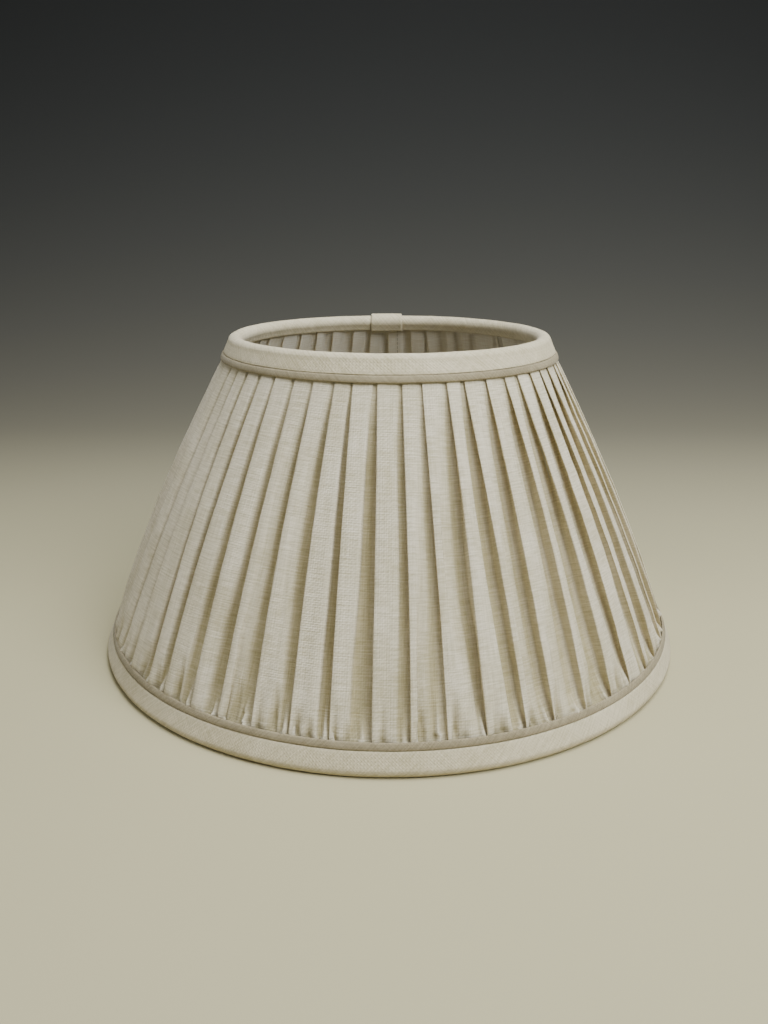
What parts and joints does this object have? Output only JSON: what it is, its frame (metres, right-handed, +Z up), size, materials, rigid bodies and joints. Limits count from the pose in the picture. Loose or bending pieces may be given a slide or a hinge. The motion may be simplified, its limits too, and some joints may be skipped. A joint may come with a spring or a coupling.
{
  "type": "lamp shade",
  "caption": "Pleated linen empire lamp shade on a wire frame, with bias bindings, contrast trims, a gathered lining and a tilting gimbal for the lamp holder.",
  "frame": {"origin": "centre of the plane that the bottom binding stands on", "axes": "+Z up along the shade's axis; +Y to the back, where the bindings are joined; +X along the gimbal's pivot"},
  "size_m": [0.35, 0.3501, 0.186],
  "materials": {
    "cover_linen": "plain-weave ivory linen, matt",
    "binding_linen": "ivory linen bias strip, folded and pressed",
    "trim_linen": "taupe linen strip, folded",
    "lining_cotton": "gathered cream cotton lining",
    "cotton_tape": "wound cotton tape",
    "coated_wire": "white epoxy-coated steel wire",
    "coated_steel": "white epoxy-coated pressed steel",
    "rivet_steel": "zinc-plated steel rivet",
    "washer_nylon": "natural nylon washer",
    "reducer_plastic": "moulded white plastic"
  },
  "bodies": {
    "shade": {"cover": "cover_linen", "lining": "lining_cotton", "top_trim": "trim_linen", "bottom_trim": "trim_linen", "top_binding": "binding_linen", "bottom_binding": "binding_linen", "top_join_tab": "binding_linen", "bottom_join_tab": "binding_linen", "top_ring_tape": "cotton_tape", "bottom_ring_tape": "cotton_tape", "top_ring": "coated_wire", "bottom_ring": "coated_wire", "strut_1": "coated_wire", "strut_2": "coated_wire", "strut_3": "coated_wire", "strut_4": "coated_wire", "strut_5": "coated_wire", "strut_6": "coated_wire", "strut_7": "coated_wire", "strut_8": "coated_wire", "gimbal_hoop": "coated_wire", "gimbal_arm_1": "coated_wire", "gimbal_arm_2": "coated_wire", "gimbal_arm_3": "coated_wire", "gimbal_arm_4": "coated_wire", "arm_facing_1": "lining_cotton", "arm_facing_2": "lining_cotton", "arm_facing_3": "lining_cotton", "arm_facing_4": "lining_cotton", "pivot_rivet_1": "rivet_steel", "pivot_rivet_2": "rivet_steel"},
    "cradle": {"cradle_strap_1": "coated_steel", "cradle_strap_2": "coated_steel", "lamp_ring": "coated_steel", "reducer_ring": "reducer_plastic", "pivot_washer_1": "washer_nylon", "pivot_washer_2": "washer_nylon"}
  },
  "joints": [
    {"name": "gimbal_tilt", "type": "hinge", "parent": "shade", "child": "cradle", "pos_m": [0, 0, 0.15], "axis": [1, 0, 0], "continuous": true}
  ]
}
